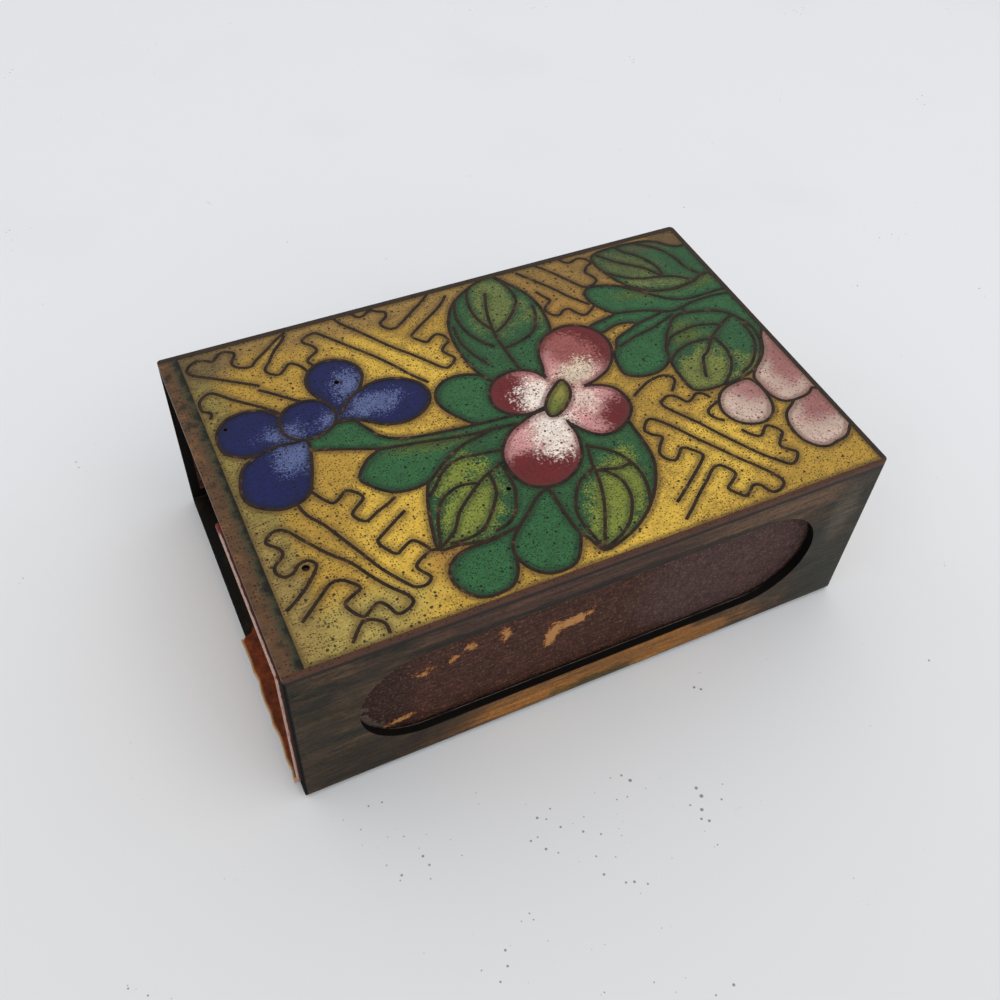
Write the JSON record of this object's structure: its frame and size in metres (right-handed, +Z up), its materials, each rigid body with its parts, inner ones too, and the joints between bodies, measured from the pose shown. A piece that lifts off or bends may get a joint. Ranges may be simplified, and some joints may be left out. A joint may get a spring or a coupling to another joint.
{
  "type": "matchbox holder",
  "caption": "Metal sleeve with a rounded window in each long side and an enamelled flower top, holding a card matchbox whose tray slides out.",
  "frame": {"origin": "centre of the flat underside of the sleeve", "axes": "+X along the sleeve, from its open left end with the wide rim to its right end; +Z up through the enamelled top; +Y towards the back"},
  "size_m": [0.0586, 0.0386, 0.0204],
  "materials": {
    "sleeve_metal": "matte",
    "rim_metal": "matte",
    "wire_metal": "satin",
    "enamel_yellow": "satin",
    "enamel_pink": "satin",
    "enamel_lime": "satin",
    "enamel_blue": "satin",
    "enamel_green": "satin",
    "enamel_leaf": "satin",
    "enamel_bud": "satin",
    "cover_card": "matte",
    "striker": "matte",
    "tray_card": "matte",
    "stick_wood": "matte",
    "head_paste": "matte"
  },
  "bodies": {
    "holder": {"channel": "sleeve_metal", "base_plate": "sleeve_metal", "rim_left": "rim_metal", "rim_right": "rim_metal", "rim_front": "rim_metal", "rim_back": "rim_metal", "wires_pink": "wire_metal", "wires_blue": "wire_metal", "wires_buds": "wire_metal", "wires_leaves": "wire_metal", "wires_veins": "wire_metal", "wires_fret": "wire_metal", "enamel_ground": "enamel_yellow", "enamel_pink": "enamel_pink", "enamel_centre": "enamel_lime", "enamel_blue": "enamel_blue", "enamel_green": "enamel_green", "enamel_veined": "enamel_leaf", "enamel_buds": "enamel_bud"},
    "matchbox": {"box_cover": "cover_card", "striker_front": "striker", "striker_back": "striker"},
    "drawer": {"tray": "tray_card", "match_sticks": "stick_wood", "match_heads": "head_paste"}
  },
  "joints": [
    {"name": "matchbox_slide", "type": "slide", "parent": "holder", "child": "matchbox", "axis": [1, 0, 0], "range_m": [-0.045, 0.045]},
    {"name": "tray_slide", "type": "slide", "parent": "matchbox", "child": "drawer", "axis": [1, 0, 0], "range_m": [-0.035, 0.035]}
  ]
}
